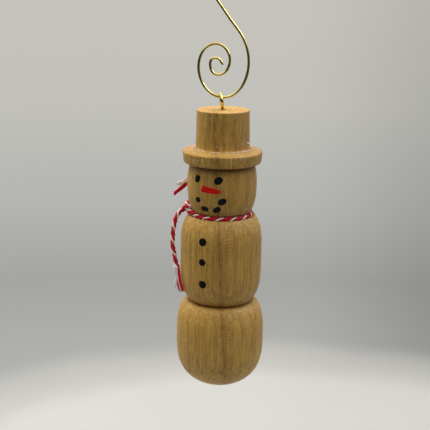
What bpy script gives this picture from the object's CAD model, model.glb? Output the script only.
"""The looks of a turned wooden snowman that hangs from a brass swirl hook and wears a twine scarf.

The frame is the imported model: metres, +Z up, the foot's centre at the origin and the face
along -Y. An azimuth is an angle round the turning axis, from the face towards +X. Every new
piece is a surface worked out on a grid, and stands for the plain CAD node of the same name.
"""

import logging
import math
from collections.abc import Sequence
from dataclasses import dataclass, field
from enum import Enum

import bpy
import numpy as np
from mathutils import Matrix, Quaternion, Vector


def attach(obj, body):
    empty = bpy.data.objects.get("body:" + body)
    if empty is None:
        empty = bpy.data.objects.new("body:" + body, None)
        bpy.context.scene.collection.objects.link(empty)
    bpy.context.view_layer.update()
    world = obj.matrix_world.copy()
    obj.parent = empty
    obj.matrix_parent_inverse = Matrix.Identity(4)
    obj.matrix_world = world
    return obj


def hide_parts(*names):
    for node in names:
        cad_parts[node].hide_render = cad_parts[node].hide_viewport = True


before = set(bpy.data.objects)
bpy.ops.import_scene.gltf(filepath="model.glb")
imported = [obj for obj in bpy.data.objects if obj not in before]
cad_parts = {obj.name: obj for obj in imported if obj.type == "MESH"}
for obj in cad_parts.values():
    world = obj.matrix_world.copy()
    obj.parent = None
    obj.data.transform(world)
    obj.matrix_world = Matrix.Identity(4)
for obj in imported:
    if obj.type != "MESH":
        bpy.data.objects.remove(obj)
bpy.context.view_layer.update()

MM = 0.001
TURN = 2.0 * math.pi
IN_MM = (1000.0, 1000.0, 1000.0)
CAMERA_AZIMUTH = math.radians(25.0)
# level directions fixed on the object, to the right of the three-quarter view and beyond it
RIGHT = np.array([math.cos(CAMERA_AZIMUTH), math.sin(CAMERA_AZIMUTH), 0.0])
BEYOND = np.array([-math.sin(CAMERA_AZIMUTH), math.cos(CAMERA_AZIMUTH), 0.0])
LOG = logging.getLogger("snowman")

Socket = bpy.types.NodeSocket


class Body(Enum):
    """The rigid bodies that the pieces ride on."""

    HOOK = "hook"
    SCREW_EYE = "screw_eye"
    FIGURE = "figure"
    SCARF = "scarf"


class Slot(Enum):
    """The record's material slots."""

    HARDWOOD = "hardwood"
    BRASS = "brass"
    TWINE = "twine"
    BLACK_PAINT = "black_paint"
    RED_PAINT = "red_paint"


# ---------------------------------------------------------------- meshes


def polar(azimuth: np.ndarray, reach: np.ndarray, height: np.ndarray) -> np.ndarray:
    """Points at azimuths in radians, radii and heights: (r sin a, -r cos a, h).

    Args:
        azimuth: Angles round the turning axis.
        reach: Distances from the axis.
        height: Heights above the foot.

    Returns:
        An array whose last axis is x, y, z.
    """
    azimuth, reach, height = np.broadcast_arrays(azimuth, reach, height)
    return np.stack([reach * np.sin(azimuth), -reach * np.cos(azimuth), height], axis=-1)


def unit(vectors: np.ndarray) -> np.ndarray:
    """Vectors divided by their own lengths."""
    return vectors / np.maximum(np.linalg.norm(vectors, axis=-1, keepdims=True), 1e-12)


@dataclass
class Surface:
    """A surface gathered from grids, with one value of each attribute at every point."""

    points: list = field(default_factory=list)
    quads: list = field(default_factory=list)
    fans: list = field(default_factory=list)
    maps: list = field(default_factory=list)
    marks: dict = field(default_factory=dict)
    count: int = 0

    def add_tube(self, grid: np.ndarray, along: np.ndarray, marks: dict[str, float]) -> None:
        """Add a grid whose columns close into rings, and close both ends with fans.

        Corner (row, column) of the map is (along[row], column / columns).

        Args:
            grid: Points, rows by columns by 3.
            along: One number for each row, the first map coordinate.
            marks: Attribute values for all of the grid's points.
        """
        rows, columns = grid.shape[:2]
        row = np.arange(rows - 1)[:, None]
        column = np.arange(columns)[None, :]
        after = (column + 1) % columns
        quads = np.stack(np.broadcast_arrays(
            row * columns + column, row * columns + after,
            (row + 1) * columns + after, (row + 1) * columns + column,
        ), axis=-1).reshape(-1, 4)
        low, high = along[:-1, None], along[1:, None]
        left, right = column / columns, (column + 1) / columns
        corner_map = np.stack([
            np.stack(np.broadcast_arrays(u, v), axis=-1)
            for u, v in ((low, left), (low, right), (high, right), (high, left))
        ], axis=2).reshape(-1, 2)
        ends = np.stack([grid[0].mean(axis=0), grid[-1].mean(axis=0)])
        first, last = rows * columns, rows * columns + 1
        ring = np.arange(columns)
        fans = np.concatenate([
            np.stack([np.full(columns, first), (ring + 1) % columns, ring], axis=-1),
            np.stack([
                np.full(columns, last), (rows - 1) * columns + ring,
                (rows - 1) * columns + (ring + 1) % columns,
            ], axis=-1),
        ])
        fan_map = np.repeat([[along[0], 0.5], [along[-1], 0.5]], 3 * columns, axis=0)
        self.quads.append(quads + self.count)
        self.fans.append(fans + self.count)
        self.maps.append((corner_map, fan_map))
        self.points.append(np.concatenate([grid.reshape(-1, 3), ends]))
        for name, value in marks.items():
            values = np.broadcast_to(value, grid.shape[:2]).reshape(-1)
            ends_value = [values[:columns].mean(), values[-columns:].mean()]
            self.marks.setdefault(name, []).append(np.concatenate([values, ends_value]))
        self.count += rows * columns + 2

    def make(self, name: str, material: bpy.types.Material) -> bpy.types.Object:
        """Put the gathered grids into one smooth-shaded object at the origin.

        Args:
            name: The piece's name.
            material: Its finish.

        Returns:
            The new object.
        """
        mesh = bpy.data.meshes.new(name)
        quads, fans = np.concatenate(self.quads), np.concatenate(self.fans)
        mesh.from_pydata(
            np.concatenate(self.points).tolist(), [], quads.tolist() + fans.tolist()
        )
        corners = np.concatenate([m[0] for m in self.maps] + [m[1] for m in self.maps])
        layer = mesh.uv_layers.new(name="map")
        layer.data.foreach_set("uv", corners.astype(np.float32).ravel())
        for mark, values in self.marks.items():
            attribute = mesh.attributes.new(mark, "FLOAT", "POINT")
            attribute.data.foreach_set("value", np.concatenate(values).astype(np.float32))
        mesh.shade_smooth()
        mesh.materials.append(material)
        piece = bpy.data.objects.new(name, mesh)
        bpy.context.scene.collection.objects.link(piece)
        return piece


def finish_piece(piece: bpy.types.Object, body: Body, slot: Slot | None, *nodes: str) -> None:
    """Hand a new piece to its body and slot, and let it stand for its CAD nodes.

    Args:
        piece: The finished object.
        body: The rigid body it rides on.
        slot: Its material slot, or None for a piece with none.
        *nodes: Names of the CAD nodes it stands for.
    """
    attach(piece, body.value)
    if nodes:
        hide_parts(*nodes)
    LOG.info("%s: %d faces on %s", piece.name, len(piece.data.polygons), body.value)


def spline(points: np.ndarray, spacing: float) -> np.ndarray:
    """Evenly spaced points on the natural cubic spline through the points.

    The knots are the chord lengths. The second slopes m solve, for each inner knot,
    h0 m0 + 2 (h0 + h1) m1 + h1 m2 = 6 (rise1 / h1 - rise0 / h0), and are 0 at both ends.

    Args:
        points: Route, one point a row.
        spacing: Distance between the points of the result.

    Returns:
        The smooth route, one point a row.
    """
    steps = np.linalg.norm(np.diff(points, axis=0), axis=1)
    knots = np.concatenate([[0.0], np.cumsum(steps)])
    count = len(points)
    system = np.eye(count)
    inner = np.arange(1, count - 1)
    system[inner, inner - 1] = steps[:-1]
    system[inner, inner] = 2.0 * (steps[:-1] + steps[1:])
    system[inner, inner + 1] = steps[1:]
    slopes = np.diff(points, axis=0) / steps[:, None]
    target = np.zeros_like(points)
    target[1:-1] = 6.0 * np.diff(slopes, axis=0)
    bends = np.linalg.solve(system, target)
    fine = np.linspace(0.0, knots[-1], 12 * count + 1)
    span = np.clip(np.searchsorted(knots, fine, side="right") - 1, 0, count - 2)
    h = steps[span][:, None]
    a = (knots[span + 1] - fine)[:, None] / h
    b = 1.0 - a
    line = (
        a * points[span] + b * points[span + 1]
        + ((a**3 - a) * bends[span] + (b**3 - b) * bends[span + 1]) * h**2 / 6.0
    )
    return even(line, spacing)


def even(line: np.ndarray, spacing: float) -> np.ndarray:
    """The same line with its points about one spacing apart.

    Args:
        line: Points of the line.
        spacing: Rough distance between the new points.

    Returns:
        The new points, one a row.
    """
    travelled = lengths(line)
    stops = np.linspace(0.0, travelled[-1], max(2, round(travelled[-1] / spacing) + 1))
    return np.stack([np.interp(stops, travelled, line[:, axis]) for axis in range(3)], axis=-1)


def lengths(line: np.ndarray) -> np.ndarray:
    """Distance travelled along a line at each of its points."""
    return np.concatenate([[0.0], np.cumsum(np.linalg.norm(np.diff(line, axis=0), axis=1))])


def steady_frame(line: np.ndarray, towards: np.ndarray) -> tuple[np.ndarray, np.ndarray]:
    """Two directions across a line at each point, which don't spin about it.

    The first guess is the part of towards across the tangent. Its spin is the integral of
    (change of the guess) . (tangent x guess), and the guess is turned back by that angle.

    Args:
        line: Points of the line.
        towards: A direction for each point, or one for all, never along the line.

    Returns:
        The two directions, each one row a point.
    """
    tangent = unit(np.gradient(line, axis=0))
    towards = np.broadcast_to(towards, line.shape)
    guess = unit(towards - (towards * tangent).sum(axis=1, keepdims=True) * tangent)
    side = np.cross(tangent, guess)
    middle = unit(side[1:] + side[:-1])
    spin = -np.concatenate([[0.0], np.cumsum((np.diff(guess, axis=0) * middle).sum(axis=1))])
    cosine, sine = np.cos(spin)[:, None], np.sin(spin)[:, None]
    return cosine * guess + sine * side, cosine * side - sine * guess


def sweep(
    line: np.ndarray, towards: np.ndarray, radius: np.ndarray | float, sides: int
) -> np.ndarray:
    """Rings of points round a line: line + radius (cos a first + sin a second).

    Args:
        line: Centre line.
        towards: Rough direction of the first side.
        radius: One radius, or one for each point, or a points by sides array.
        sides: Points in each ring.

    Returns:
        A grid, points by sides by 3.
    """
    first, second = steady_frame(line, towards)
    angle = np.arange(sides) * TURN / sides
    radius = np.asarray(radius, dtype=float)
    radius = radius.reshape(radius.shape + (1,) * (2 - radius.ndim))
    cosine, sine = np.cos(angle)[None, :, None], np.sin(angle)[None, :, None]
    across = first[:, None] * cosine + second[:, None] * sine
    return line[:, None] + across * radius[..., None]


# ---------------------------------------------------------------- node sketches


class Sketch:
    """Short-hand for laying nodes in one node tree."""

    def __init__(self, tree: bpy.types.NodeTree) -> None:
        """Keep the tree that the nodes go into."""
        self.tree = tree

    def add(self, kind: str, inputs: dict | None = None, **settings) -> bpy.types.Node:
        """Add a node.

        Args:
            kind: The node's type, without its "ShaderNode" prefix.
            inputs: Values or sockets for inputs, by name or index.
            **settings: The node's own properties.

        Returns:
            The node.
        """
        node = self.tree.nodes.new("ShaderNode" + kind)
        for name, value in settings.items():
            setattr(node, name, value)
        for name, value in (inputs or {}).items():
            self.put(node.inputs[name], value)
        return node

    def put(self, socket: Socket, value: object) -> None:
        """Link a socket, or set an input's own value.

        Args:
            socket: The input.
            value: A socket to link, or the input's new value.
        """
        if isinstance(value, Socket):
            self.tree.links.new(value, socket)
        else:
            socket.default_value = value

    def math(self, operation: str, *values: object, clamp: bool = False) -> Socket:
        """Result of a Math node on the given values or sockets."""
        node = self.add("Math", dict(enumerate(values)), operation=operation, use_clamp=clamp)
        return node.outputs[0]

    def plus(self, base: object, value: object, share: object, clamp: bool = False) -> Socket:
        """base + value share."""
        return self.math("ADD", base, self.math("MULTIPLY", value, share), clamp=clamp)

    def emboss(self, shader: bpy.types.Node, height: Socket, strength: float, depth: float) -> None:
        """Feed a Bump node, its depth in metres, to a shader's normal."""
        bump = self.add("Bump", {"Strength": strength, "Distance": depth, "Height": height})
        self.put(shader.inputs["Normal"], bump.outputs["Normal"])

    def dot(self, vector: Socket, direction: Sequence[float]) -> Socket:
        """Dot product of a vector socket with a fixed direction."""
        node = self.add("VectorMath", {0: vector, 1: tuple(direction)}, operation="DOT_PRODUCT")
        return node.outputs["Value"]

    def stretch(self, vector: Socket, factors: Sequence[float]) -> Socket:
        """A vector socket multiplied by fixed factors."""
        node = self.add("VectorMath", {0: vector, 1: tuple(factors)}, operation="MULTIPLY")
        return node.outputs["Vector"]

    def noise(self, vector: Socket, scale: float, detail: float = 2.0) -> Socket:
        """Smooth noise, about 0.3 to 0.7, with an average of 0.5."""
        node = self.add("TexNoise", {"Vector": vector, "Scale": scale, "Detail": detail})
        return node.outputs["Fac"]

    def smooth(self, value: Socket, low: float, high: float) -> Socket:
        """0 below low and 1 above high, with a smooth step between; low may be the larger.

        Args:
            value: The socket that is read.
            low: Value that gives 0.
            high: Value that gives 1.

        Returns:
            The step's socket.
        """
        node = self.add(
            "MapRange", {"Value": value, "From Min": low, "From Max": high},
            interpolation_type="SMOOTHSTEP",
        )
        return node.outputs["Result"]

    def bell(self, value: Socket, middle: float, width: object) -> Socket:
        """1 at the middle, falling as exp(-((value - middle) / width) squared).

        Args:
            value: The socket that is read.
            middle: Value that gives 1.
            width: Distance over which it falls to 1 / e, or a socket.

        Returns:
            The bell's socket.
        """
        share = self.math("DIVIDE", self.math("SUBTRACT", value, middle), width)
        square = self.math("MULTIPLY", share, share)
        return self.math("EXPONENT", self.math("MULTIPLY", square, -1.0))

    def blend(self, factor: object, first: object, second: object, kind: str = "MIX") -> Socket:
        """Mix of two colours.

        Args:
            factor: 0 for the first colour and 1 for the second.
            first: First colour.
            second: Second colour.
            kind: How they are mixed.

        Returns:
            The mixed colour's socket.
        """
        inputs = {0: factor, 6: first, 7: second}
        node = self.add("Mix", inputs, data_type="RGBA", blend_type=kind)
        return node.outputs[2]

    def ramp(self, value: Socket, stops: Sequence[tuple[float, float]]) -> Socket:
        """A grey value read from stops of place and brightness.

        Args:
            value: The socket that is read, from 0 to 1.
            stops: The first and the last stop, then those between, in order.

        Returns:
            The grey value's socket.
        """
        node = self.add("ValToRGB", {0: value})
        elements = node.color_ramp.elements
        for element, (place, grey) in zip(elements, stops):
            element.position = place
            element.color = (grey, grey, grey, 1.0)
        for place, grey in stops[2:]:
            elements.new(place).color = (grey, grey, grey, 1.0)
        return node.outputs["Color"]

    def group(self, tree: bpy.types.NodeTree, inputs: dict) -> Socket:
        """Place a shared group and give its first output.

        Args:
            tree: The shared group.
            inputs: Values or sockets for its inputs.

        Returns:
            The group's first output.
        """
        node = self.tree.nodes.new("ShaderNodeGroup")
        node.node_tree = tree
        for name, value in inputs.items():
            self.put(node.inputs[name], value)
        return node.outputs[0]


def colour(red: float, green: float, blue: float) -> tuple[float, float, float, float]:
    """An opaque colour."""
    return (red, green, blue, 1.0)


def new_group(
    name: str, inputs: dict[str, str]
) -> tuple[bpy.types.NodeTree, Sketch, bpy.types.Node]:
    """An empty shader group with named inputs and one output called Value.

    Args:
        name: The group's name.
        inputs: Socket type of each input, by name.

    Returns:
        The group, a sketch of it and its input node.
    """
    tree = bpy.data.node_groups.new(name, "ShaderNodeTree")
    for title, kind in inputs.items():
        tree.interface.new_socket(title, in_out="INPUT", socket_type=kind)
    tree.interface.new_socket("Value", in_out="OUTPUT", socket_type="NodeSocketFloat")
    return tree, Sketch(tree), tree.nodes.new("NodeGroupInput")


def close_group(tree: bpy.types.NodeTree, value: Socket) -> bpy.types.NodeTree:
    """Link a group's result to its output.

    Args:
        tree: The group.
        value: Its result.

    Returns:
        The finished group.
    """
    end = tree.nodes.new("NodeGroupOutput")
    tree.links.new(value, end.inputs["Value"])
    return tree


def make_streaks() -> bpy.types.NodeTree:
    """Group: long thin marks, as fibres, bristle marks and drawn wire leave them.

    Noise is read at (place . stretch). Where it is over the threshold, the mark grows to 1
    within the softness.

    Returns:
        The group.
    """
    tree, sketch, start = new_group("streaks", {
        "Place": "NodeSocketVector", "Stretch": "NodeSocketVector",
        "Threshold": "NodeSocketFloat", "Softness": "NodeSocketFloat",
    })
    factors = {0: start.outputs["Place"], 1: start.outputs["Stretch"]}
    place = sketch.add("VectorMath", factors, operation="MULTIPLY").outputs["Vector"]
    raw = sketch.noise(place, 1.0, 3.0)
    over = sketch.math("SUBTRACT", raw, start.outputs["Threshold"])
    value = sketch.math("DIVIDE", over, start.outputs["Softness"], clamp=True)
    return close_group(tree, value)


def make_mottle() -> bpy.types.NodeTree:
    """Group: soft cloudy patches, two sizes of noise added, centred on 0.5.

    Returns:
        The group.
    """
    tree, sketch, start = new_group("mottle", {
        "Place": "NodeSocketVector", "Size": "NodeSocketFloat",
    })
    scaled = sketch.add("VectorMath", {0: start.outputs["Place"]}, operation="SCALE")
    sketch.put(scaled.inputs["Scale"], sketch.math("DIVIDE", 1.0, start.outputs["Size"]))
    broad = sketch.noise(scaled.outputs["Vector"], 1.0, 1.0)
    fine = sketch.noise(scaled.outputs["Vector"], 4.3, 2.0)
    value = sketch.plus(sketch.math("MULTIPLY", broad, 0.7), fine, 0.3)
    return close_group(tree, value)


@dataclass(frozen=True)
class SharedGroups:
    """The node groups that more than one finish uses."""

    streaks: bpy.types.NodeTree
    mottle: bpy.types.NodeTree


def start_material(
    name: str, roughness: float, metallic: float = 0.0, specular: float = 0.5
) -> tuple[bpy.types.Material, Sketch, bpy.types.Node]:
    """An empty material with a Principled shader.

    Args:
        name: The material's name.
        roughness: Its roughness, where nothing is linked.
        metallic: Its metallic value.
        specular: Its specular level.

    Returns:
        The material, a sketch of its tree and its shader.
    """
    material = bpy.data.materials.new(name)
    material.use_nodes = True
    shader = material.node_tree.nodes["Principled BSDF"]
    shader.inputs["Roughness"].default_value = roughness
    shader.inputs["Metallic"].default_value = metallic
    shader.inputs["Specular IOR Level"].default_value = specular
    return material, Sketch(material.node_tree), shader


# ---------------------------------------------------------------- finishes


@dataclass(frozen=True)
class HardwoodFinish:
    """Satin hardwood whose rings are nearly flat and face front right, with one dark streak.

    Lengths are in millimetres, and a share says how much of a mask reaches the colour.
    """

    shared: SharedGroups
    light: tuple = colour(0.64, 0.395, 0.100)
    dark: tuple = colour(0.275, 0.132, 0.015)
    streak: tuple = colour(0.105, 0.042, 0.006)
    hollow: tuple = colour(0.13, 0.042, 0.006)
    ring_azimuth: float = math.radians(35.7)
    ring_lean: float = math.radians(6.0)
    ring_width: float = 2.4
    fine_ring_width: float = 0.62
    ring_wander: float = 4.0
    first_tone: float = -0.36
    ring_share: float = 0.30
    band_share: float = 0.26
    fibre_share: float = 0.40
    pore_share: float = 0.36
    cloud_share: float = 0.40
    ripple_share: float = 0.27
    stain_share: float = 0.16
    streak_share: float = 0.62
    hollow_share: float = 0.75
    streak_across: float = 2.5
    streak_slope: float = 0.053
    low_streak_across: float = -11.4
    ripple_centres: tuple[tuple[float, float], ...] = ((61.5, 4.2), (23.5, 4.0))
    ripple_across: float = 3.3
    ripple_spacing: float = 1.3
    ripple_bow: float = 0.17

    def material(self) -> bpy.types.Material:
        """The finish, worked out in millimetres from Object coordinates.

        Returns:
            The material.
        """
        material, sketch, shader = start_material("hardwood_satin", 0.5, specular=0.35)
        place = sketch.stretch(sketch.add("TexCoord").outputs["Object"], IN_MM)
        height = sketch.dot(place, (0.0, 0.0, 1.0))
        rings = self.rings(sketch, place)
        bands = sketch.noise(sketch.stretch(place, (0.85, 0.85, 0.018)), 1.0, 1.5)
        bands = sketch.smooth(bands, 0.36, 0.66)
        fibres = sketch.group(self.shared.streaks, {
            "Place": place, "Stretch": (2.4, 2.4, 0.075), "Threshold": 0.38, "Softness": 0.24,
        })
        pores = sketch.group(self.shared.streaks, {
            "Place": place, "Stretch": (5.2, 5.2, 0.42), "Threshold": 0.54, "Softness": 0.08,
        })
        clouds = sketch.group(self.shared.mottle, {"Place": place, "Size": 11.0})
        ripples, streak, stain = self.figure_marks(sketch, place, height)
        tone = self.first_tone
        for mask, share in (
            (rings, self.ring_share), (bands, self.band_share), (fibres, self.fibre_share),
            (pores, self.pore_share), (clouds, self.cloud_share), (ripples, self.ripple_share),
        ):
            tone = sketch.plus(tone, mask, share)
        tone = sketch.math("MAXIMUM", tone, 0.0, clamp=True)
        shade = sketch.blend(tone, self.light, self.dark)
        hollow = sketch.add("Attribute", attribute_name="hollow").outputs["Fac"]
        for mask, share, over in (
            (stain, self.stain_share, self.hollow), (streak, self.streak_share, self.streak),
            (hollow, self.hollow_share, self.hollow),
        ):
            shade = sketch.blend(sketch.math("MULTIPLY", mask, share), shade, over)
        sketch.put(shader.inputs["Base Color"], shade)
        rough = sketch.plus(sketch.plus(0.44, pores, 0.18), clouds, 0.12)
        sketch.put(shader.inputs["Roughness"], rough)
        relief = sketch.math("MULTIPLY", sketch.plus(fibres, pores, 2.0), -1.0)
        sketch.emboss(shader, relief, 0.35, 0.00003)
        return material

    def rings(self, sketch: Sketch, place: Socket) -> Socket:
        """Darkness of the growth rings: a slow rise and a quick fall across each ring.

        Args:
            sketch: Sketch of the material.
            place: Place in millimetres.

        Returns:
            The darkness, from 0 to 1.
        """
        level = math.cos(self.ring_lean)
        facing = (
            level * math.sin(self.ring_azimuth), -level * math.cos(self.ring_azimuth),
            math.sin(self.ring_lean),
        )
        wander = sketch.noise(sketch.stretch(place, (0.11, 0.11, 0.030)), 1.0, 2.0)
        depth = sketch.plus(sketch.dot(place, facing), wander, self.ring_wander)
        broad = sketch.math("FRACT", sketch.math("DIVIDE", depth, self.ring_width))
        broad = sketch.ramp(broad, ((0.0, 0.15), (1.0, 0.15), (0.55, 0.40), (0.86, 1.0)))
        fine = sketch.math("FRACT", sketch.math("DIVIDE", depth, self.fine_ring_width))
        fine = sketch.ramp(fine, ((0.0, 0.2), (1.0, 0.2), (0.5, 0.8)))
        return sketch.plus(sketch.math("MULTIPLY", broad, 0.65), fine, 0.35)

    def figure_marks(
        self, sketch: Sketch, place: Socket, height: Socket
    ) -> tuple[Socket, Socket, Socket]:
        """The marks seen from the front right: ripples, a dark streak and its brown stain.

        The streak is the sheet across = streak_across - streak_slope height, which wanders,
        and comes and goes with height. A second one lies on the base only. The ripples are
        arcs of equal (height + ripple_bow offset squared) about each of their centres.

        Args:
            sketch: Sketch of the material.
            place: Place in millimetres.
            height: Height in millimetres.

        Returns:
            The three masks.
        """
        across = sketch.dot(place, RIGHT)
        front = sketch.smooth(sketch.dot(place, BEYOND), 2.0, -3.0)
        slow = sketch.noise(sketch.stretch(place, (0.0, 0.0, 0.10)), 1.0, 1.0)
        quick = sketch.noise(sketch.stretch(place, (0.05, 0.05, 0.55)), 1.0, 2.0)
        off = sketch.plus(across, height, self.streak_slope)
        off = sketch.plus(off, sketch.math("SUBTRACT", slow, 0.5), 1.6)
        off = sketch.plus(off, sketch.math("SUBTRACT", quick, 0.5), 0.5)
        width = sketch.math("MULTIPLY", quick, 0.62)
        there = sketch.noise(sketch.stretch(place, (0.0, 0.0, 0.30)), 1.0, 3.0)
        there = sketch.plus(0.18, sketch.smooth(there, 0.40, 0.60), 0.82)
        core = sketch.math("MULTIPLY", sketch.bell(off, self.streak_across, width), there)
        threads = sketch.group(self.shared.streaks, {
            "Place": place, "Stretch": (3.4, 3.4, 0.13), "Threshold": 0.52, "Softness": 0.10,
        })
        threads = sketch.math("MULTIPLY", threads, sketch.bell(off, self.streak_across + 0.1, 1.3))
        main = sketch.math("MAXIMUM", core, sketch.math("MULTIPLY", threads, 0.62))
        low = sketch.smooth(height, 33.0, 22.0)
        low = sketch.math("MULTIPLY", low, there)
        second = sketch.math("MULTIPLY", sketch.bell(off, self.low_streak_across, 0.34), low)
        streak = sketch.math("MAXIMUM", main, sketch.math("MULTIPLY", second, 0.85))
        stain = sketch.bell(off, self.streak_across + 0.4, 2.4)
        offset = sketch.math("SUBTRACT", across, self.ripple_across - 0.2)
        square = sketch.math("MULTIPLY", offset, offset)
        arcs = sketch.plus(sketch.plus(height, square, self.ripple_bow), quick, 0.8)
        waves = sketch.math("SINE", sketch.math("MULTIPLY", arcs, TURN / self.ripple_spacing))
        upper, lower = (sketch.bell(height, *centre) for centre in self.ripple_centres)
        zone = sketch.math("ADD", upper, lower)
        zone = sketch.math("MULTIPLY", zone, sketch.bell(across, self.ripple_across, 2.5))
        waves = sketch.math("MULTIPLY", waves, zone)
        ripples, streak, stain = (
            sketch.math("MULTIPLY", mask, front) for mask in (waves, streak, stain)
        )
        return ripples, streak, stain


@dataclass(frozen=True)
class BrassFinish:
    """Gold-coloured wire with drawing lines along it and slight tarnish."""

    shared: SharedGroups
    bright: tuple = colour(0.82, 0.70, 0.27)
    dull: tuple = colour(0.52, 0.38, 0.10)

    def material(self) -> bpy.types.Material:
        """The finish, on the wire's own map.

        Returns:
            The material.
        """
        material, sketch, shader = start_material("brass_wire", 0.2, metallic=1.0)
        coordinates = sketch.add("TexCoord")
        place = sketch.stretch(coordinates.outputs["Object"], IN_MM)
        tarnish = sketch.group(self.shared.mottle, {"Place": place, "Size": 5.0})
        tarnish = sketch.smooth(tarnish, 0.42, 0.72)
        lines = sketch.group(self.shared.streaks, {
            "Place": coordinates.outputs["UV"], "Stretch": (260.0, 16.0, 1.0),
            "Threshold": 0.45, "Softness": 0.25,
        })
        sketch.put(shader.inputs["Base Color"], sketch.blend(tarnish, self.bright, self.dull))
        rough = sketch.plus(sketch.plus(0.21, tarnish, 0.14), lines, 0.06)
        sketch.put(shader.inputs["Roughness"], rough)
        sketch.emboss(shader, lines, 0.03, 0.00001)
        return material


@dataclass(frozen=True)
class TwineFinish:
    """Cotton twine: the attribute dye is 0 on white yarn and 1 on red yarn."""

    shared: SharedGroups
    red: tuple = colour(0.74, 0.008, 0.030)
    deep_red: tuple = colour(0.36, 0.002, 0.010)
    white: tuple = colour(0.96, 0.93, 0.89)
    grey: tuple = colour(0.84, 0.80, 0.74)

    def material(self) -> bpy.types.Material:
        """The finish, with fibres along each yarn's own map.

        Returns:
            The material.
        """
        material, sketch, shader = start_material("cotton_twine", 0.9, specular=0.15)
        shader.inputs["Sheen Weight"].default_value = 0.2
        shader.inputs["Sheen Roughness"].default_value = 0.5
        coordinates = sketch.add("TexCoord")
        dye = sketch.add("Attribute", attribute_name="dye").outputs["Fac"]
        depth = sketch.add("Attribute", attribute_name="depth").outputs["Fac"]
        place = sketch.stretch(coordinates.outputs["Object"], IN_MM)
        fibres = sketch.group(self.shared.streaks, {
            "Place": coordinates.outputs["UV"], "Stretch": (2600.0, 22.0, 1.0),
            "Threshold": 0.35, "Softness": 0.35,
        })
        patches = sketch.group(self.shared.mottle, {"Place": place, "Size": 1.6})
        shade = sketch.plus(sketch.math("MULTIPLY", fibres, 0.45), patches, 0.35)
        shade = sketch.math("ADD", shade, depth, clamp=True)
        red = sketch.blend(shade, self.red, self.deep_red)
        white = sketch.blend(shade, self.white, self.grey)
        sketch.put(shader.inputs["Base Color"], sketch.blend(dye, white, red))
        sketch.emboss(shader, fibres, 0.6, 0.00004)
        return material


@dataclass(frozen=True)
class PaintFinish:
    """Brushed craft paint whose bristle marks run at an angle on the dab's own map."""

    shared: SharedGroups
    name: str
    full: tuple
    thin: tuple
    hatch: float
    roughness: float
    marks: float

    def material(self) -> bpy.types.Material:
        """The finish, in millimetres of the dab's own map.

        Returns:
            The material.
        """
        material, sketch, shader = start_material(self.name, self.roughness, specular=0.15)
        place = sketch.add("TexCoord").outputs["UV"]
        cosine, sine = math.cos(self.hatch), math.sin(self.hatch)
        turned = sketch.add("CombineXYZ", {
            0: sketch.dot(place, (cosine, sine, 0.0)), 1: sketch.dot(place, (-sine, cosine, 0.0)),
        }).outputs["Vector"]
        bristles = sketch.group(self.shared.streaks, {
            "Place": turned, "Stretch": (0.55, 4.6, 1.0), "Threshold": 0.47, "Softness": 0.16,
        })
        patches = sketch.group(self.shared.mottle, {"Place": place, "Size": 0.9})
        worn = sketch.math("MULTIPLY", bristles, self.marks)
        worn = sketch.plus(worn, patches, 0.25, clamp=True)
        sketch.put(shader.inputs["Base Color"], sketch.blend(worn, self.full, self.thin))
        rough = sketch.plus(self.roughness - 0.1, patches, 0.25)
        sketch.put(shader.inputs["Roughness"], rough)
        sketch.emboss(shader, bristles, 0.4, 0.00002)
        return material


@dataclass(frozen=True)
class GlitterFinish:
    """Pearly flakes: the attribute hue picks rose, gold, green or blue."""

    tints: tuple[tuple[float, tuple[float, float, float]], ...] = (
        (0.0, (0.95, 0.72, 0.80)), (0.35, (0.96, 0.93, 0.90)), (0.6, (0.75, 0.88, 0.80)),
        (0.8, (0.72, 0.80, 0.96)), (1.0, (0.98, 0.84, 0.62)),
    )

    def material(self) -> bpy.types.Material:
        """The finish, one tint for each flake.

        Returns:
            The material.
        """
        material, sketch, shader = start_material(
            "glitter_flakes", 0.16, metallic=0.15, specular=1.0
        )
        hue = sketch.add("Attribute", attribute_name="hue").outputs["Fac"]
        ramp = sketch.add("ValToRGB", {0: hue})
        elements = ramp.color_ramp.elements
        for element, (place, tint) in zip(elements, (self.tints[0], self.tints[-1])):
            element.position, element.color = place, colour(*tint)
        for place, tint in self.tints[1:-1]:
            elements.new(place).color = colour(*tint)
        sketch.put(shader.inputs["Base Color"], ramp.outputs["Color"])
        return material


@dataclass(frozen=True)
class FloorFinish:
    """Pale floor that fades into the surround between two distances from its middle."""

    pale: tuple = colour(0.425, 0.425, 0.41)
    grey: tuple = colour(0.385, 0.380, 0.365)
    middle: tuple = (0.030, 0.02, 0.0)
    gone: float = 0.300
    whole: float = 0.225

    def material(self) -> bpy.types.Material:
        """The finish; its alpha falls with the distance from the middle.

        Returns:
            The material.
        """
        material, sketch, shader = start_material("pale_floor", 0.8, specular=0.1)
        place = sketch.add("TexCoord").outputs["Object"]
        moved = sketch.add("VectorMath", {0: place, 1: self.middle}, operation="SUBTRACT")
        away = sketch.add("VectorMath", {0: moved.outputs["Vector"]}, operation="LENGTH")
        clouds = sketch.noise(place, 9.0, 2.0)
        away = sketch.plus(away.outputs["Value"], clouds, 0.03)
        sketch.put(shader.inputs["Base Color"], sketch.blend(clouds, self.pale, self.grey))
        sketch.put(shader.inputs["Alpha"], sketch.smooth(away, self.gone, self.whole))
        return material


# ---------------------------------------------------------------- the turned figure


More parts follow.
